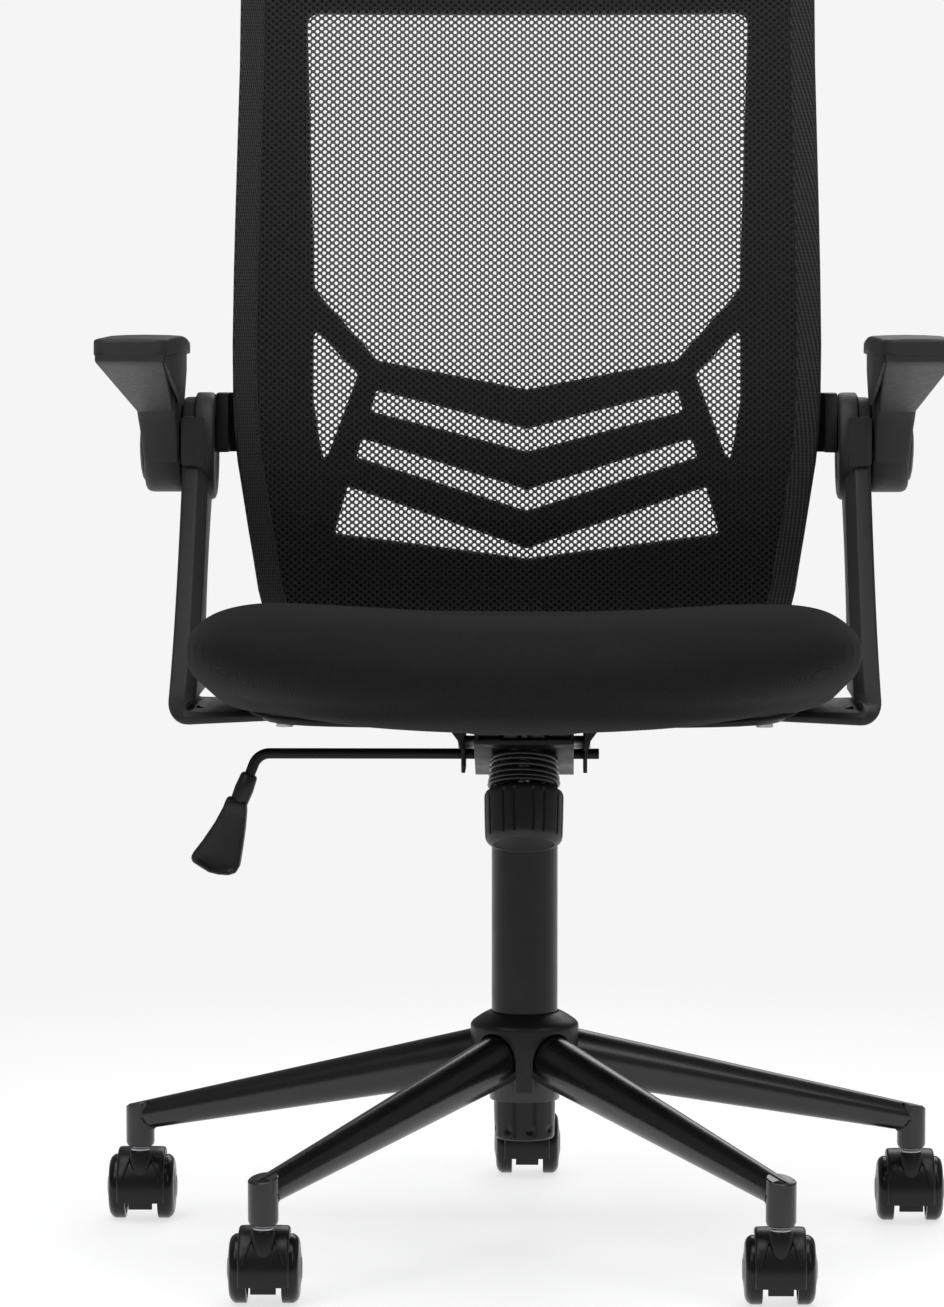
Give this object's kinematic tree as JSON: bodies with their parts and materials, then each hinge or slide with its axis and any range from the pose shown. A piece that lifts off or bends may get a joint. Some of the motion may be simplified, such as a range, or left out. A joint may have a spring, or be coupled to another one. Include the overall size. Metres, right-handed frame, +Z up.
{
  "type": "swivel office chair",
  "caption": "Swivel office chair with a mesh back, padded fabric seat, flip-up armrests, tilt mechanism, gas lift and a star base on twin-wheel casters.",
  "frame": {"origin": "on the floor under the axis of the gas lift", "axes": "+Z up along the gas lift, -Y the way the sitter faces, +X to the sitter's left"},
  "size_m": [0.6532, 0.6263, 1.006],
  "materials": {
    "steel_black": "gloss black powder coat with fine brushed highlights",
    "steel_satin": "satin black powder coat",
    "steel_zinc": "bright zinc plate",
    "steel_chrome": "polished chrome",
    "spring_black": "oiled black spring steel",
    "plastic_black": "fine-grained moulded black plastic",
    "plastic_grey": "plain dark grey engineering plastic",
    "nylon_black": "satin black nylon",
    "wheel_black": "black nylon, polished domed faces and a duller tread",
    "arm_plastic": "fine-grained charcoal plastic",
    "pad_plastic": "soft-touch charcoal plastic",
    "back_plastic": "matt black moulded plastic",
    "seat_fabric": "charcoal plain-woven upholstery cloth over foam",
    "mesh_fabric": "open-hole black knitted mesh"
  },
  "bodies": {
    "base": {"base_hub_sleeve": "steel_black", "hub_cover": "plastic_black", "base_arm_1": "steel_black", "base_arm_2": "steel_black", "base_arm_3": "steel_black", "base_arm_4": "steel_black", "base_arm_5": "steel_black", "pressure_tube": "steel_black", "guide_bush": "plastic_grey", "thrust_bearing": "steel_zinc", "piston_rod": "steel_chrome"},
    "caster_1": {"caster_1_housing": "nylon_black", "caster_1_stem_and_axle": "steel_zinc"},
    "wheel_1_left": {"caster_1_wheel_left": "wheel_black"},
    "wheel_1_right": {"caster_1_wheel_right": "wheel_black"},
    "caster_2": {"caster_2_housing": "nylon_black", "caster_2_stem_and_axle": "steel_zinc"},
    "wheel_2_left": {"caster_2_wheel_left": "wheel_black"},
    "wheel_2_right": {"caster_2_wheel_right": "wheel_black"},
    "caster_3": {"caster_3_housing": "nylon_black", "caster_3_stem_and_axle": "steel_zinc"},
    "wheel_3_left": {"caster_3_wheel_left": "wheel_black"},
    "wheel_3_right": {"caster_3_wheel_right": "wheel_black"},
    "caster_4": {"caster_4_housing": "nylon_black", "caster_4_stem_and_axle": "steel_zinc"},
    "wheel_4_left": {"caster_4_wheel_left": "wheel_black"},
    "wheel_4_right": {"caster_4_wheel_right": "wheel_black"},
    "caster_5": {"caster_5_housing": "nylon_black", "caster_5_stem_and_axle": "steel_zinc"},
    "wheel_5_left": {"caster_5_wheel_left": "wheel_black"},
    "wheel_5_right": {"caster_5_wheel_right": "wheel_black"},
    "lift_column": {"gas_cylinder": "steel_chrome"},
    "valve_pin": {"release_pin": "steel_zinc"},
    "mechanism": {"mechanism_channel": "steel_satin", "mechanism_axles": "steel_zinc", "tension_spring": "spring_black"},
    "rocker": {"release_rocker": "steel_zinc"},
    "lock_slider": {"tilt_lock_slider": "plastic_grey"},
    "lever": {"lift_lever_rod": "steel_satin", "lift_lever_paddle": "plastic_black"},
    "seat": {"seat_plate": "steel_satin", "tension_bolt": "steel_zinc", "seat_pan": "plastic_black", "seat_bolts": "steel_zinc", "seat_cushion": "seat_fabric", "arm_frame_left": "arm_plastic", "arm_frame_right": "arm_plastic", "arm_bolts": "steel_zinc", "arm_pivot_pins": "steel_zinc", "back_frame": "back_plastic", "back_mesh": "mesh_fabric", "back_brackets": "plastic_black", "back_bolts": "steel_zinc"},
    "knob": {"tension_knob": "plastic_black"},
    "armrest_left": {"armrest_beam_left": "arm_plastic", "armrest_pad_left": "pad_plastic", "armrest_cap_left": "arm_plastic"},
    "armrest_right": {"armrest_beam_right": "arm_plastic", "armrest_pad_right": "pad_plastic", "armrest_cap_right": "arm_plastic"}
  },
  "joints": [
    {"name": "caster_1_swivel", "type": "hinge", "parent": "base", "child": "caster_1", "pos_m": [0, 0.315, 0.08], "axis": [0, 0, 1], "continuous": true},
    {"name": "wheel_1_left_roll", "type": "hinge", "parent": "caster_1", "child": "wheel_1_left", "pos_m": [0, 0.335, 0.025], "axis": [1, 0, 0], "continuous": true},
    {"name": "wheel_1_right_roll", "type": "hinge", "parent": "caster_1", "child": "wheel_1_right", "pos_m": [0, 0.335, 0.025], "axis": [1, 0, 0], "continuous": true},
    {"name": "caster_2_swivel", "type": "hinge", "parent": "base", "child": "caster_2", "pos_m": [-0.29958, 0.09734, 0.08], "axis": [0, 0, 1], "continuous": true},
    {"name": "wheel_2_left_roll", "type": "hinge", "parent": "caster_2", "child": "wheel_2_left", "pos_m": [-0.29958, 0.11734, 0.025], "axis": [1, 0, 0], "continuous": true},
    {"name": "wheel_2_right_roll", "type": "hinge", "parent": "caster_2", "child": "wheel_2_right", "pos_m": [-0.29958, 0.11734, 0.025], "axis": [1, 0, 0], "continuous": true},
    {"name": "caster_3_swivel", "type": "hinge", "parent": "base", "child": "caster_3", "pos_m": [-0.18515, -0.25484, 0.08], "axis": [0, 0, 1], "continuous": true},
    {"name": "wheel_3_left_roll", "type": "hinge", "parent": "caster_3", "child": "wheel_3_left", "pos_m": [-0.18515, -0.23484, 0.025], "axis": [1, 0, 0], "continuous": true},
    {"name": "wheel_3_right_roll", "type": "hinge", "parent": "caster_3", "child": "wheel_3_right", "pos_m": [-0.18515, -0.23484, 0.025], "axis": [1, 0, 0], "continuous": true},
    {"name": "caster_4_swivel", "type": "hinge", "parent": "base", "child": "caster_4", "pos_m": [0.18515, -0.25484, 0.08], "axis": [0, 0, 1], "continuous": true},
    {"name": "wheel_4_left_roll", "type": "hinge", "parent": "caster_4", "child": "wheel_4_left", "pos_m": [0.18515, -0.23484, 0.025], "axis": [1, 0, 0], "continuous": true},
    {"name": "wheel_4_right_roll", "type": "hinge", "parent": "caster_4", "child": "wheel_4_right", "pos_m": [0.18515, -0.23484, 0.025], "axis": [1, 0, 0], "continuous": true},
    {"name": "caster_5_swivel", "type": "hinge", "parent": "base", "child": "caster_5", "pos_m": [0.29958, 0.09734, 0.08], "axis": [0, 0, 1], "continuous": true},
    {"name": "wheel_5_left_roll", "type": "hinge", "parent": "caster_5", "child": "wheel_5_left", "pos_m": [0.29958, 0.11734, 0.025], "axis": [1, 0, 0], "continuous": true},
    {"name": "wheel_5_right_roll", "type": "hinge", "parent": "caster_5", "child": "wheel_5_right", "pos_m": [0.29958, 0.11734, 0.025], "axis": [1, 0, 0], "continuous": true},
    {"name": "seat_height", "type": "slide", "parent": "base", "child": "lift_column", "axis": [0, 0, 1], "range_m": [0, 0.1]},
    {"name": "seat_swivel", "type": "hinge", "parent": "lift_column", "child": "mechanism", "pos_m": [0, 0, 0.38], "axis": [0, 0, 1], "continuous": true},
    {"name": "valve_press", "type": "slide", "parent": "lift_column", "child": "valve_pin", "axis": [0, 0, -1], "range_m": [0, 0.0036]},
    {"name": "tilt_lock", "type": "slide", "parent": "mechanism", "child": "lock_slider", "axis": [-1, 0, 0], "range_m": [0, 0.006]},
    {"name": "lever_lift", "type": "hinge", "parent": "lock_slider", "child": "lever", "pos_m": [0.052, -0.028, 0.378], "axis": [0, 1, 0], "range_deg": [0, 3.3]},
    {"name": "rocker_turn", "type": "hinge", "parent": "mechanism", "child": "rocker", "pos_m": [0, -0.0205, 0.3918], "axis": [-1, 0, 0], "range_deg": [0, 9.9]},
    {"name": "seat_tilt", "type": "hinge", "parent": "mechanism", "child": "seat", "pos_m": [0, -0.042, 0.388], "axis": [-1, 0, 0], "range_deg": [0, 10], "stiffness_Nm_per_rad": 120, "springref_deg": -14.32, "deforming": ["tension_spring"]},
    {"name": "tension_turn", "type": "hinge", "parent": "seat", "child": "knob", "pos_m": [0, -0.0864, 0.3359], "axis": [0, -0.342, -0.9397], "continuous": true},
    {"name": "armrest_left_flip", "type": "hinge", "parent": "seat", "child": "armrest_left", "pos_m": [0.285, 0.17, 0.602], "axis": [-1, 0, 0], "range_deg": [0, 90]},
    {"name": "armrest_right_flip", "type": "hinge", "parent": "seat", "child": "armrest_right", "pos_m": [-0.285, 0.17, 0.602], "axis": [-1, 0, 0], "range_deg": [0, 90]}
  ],
  "couplings": [
    {"joint": "rocker_turn", "follows": "lever_lift", "ratio": 2.97},
    {"joint": "valve_press", "follows": "lever_lift", "m_per_rad": 0.0608}
  ]
}
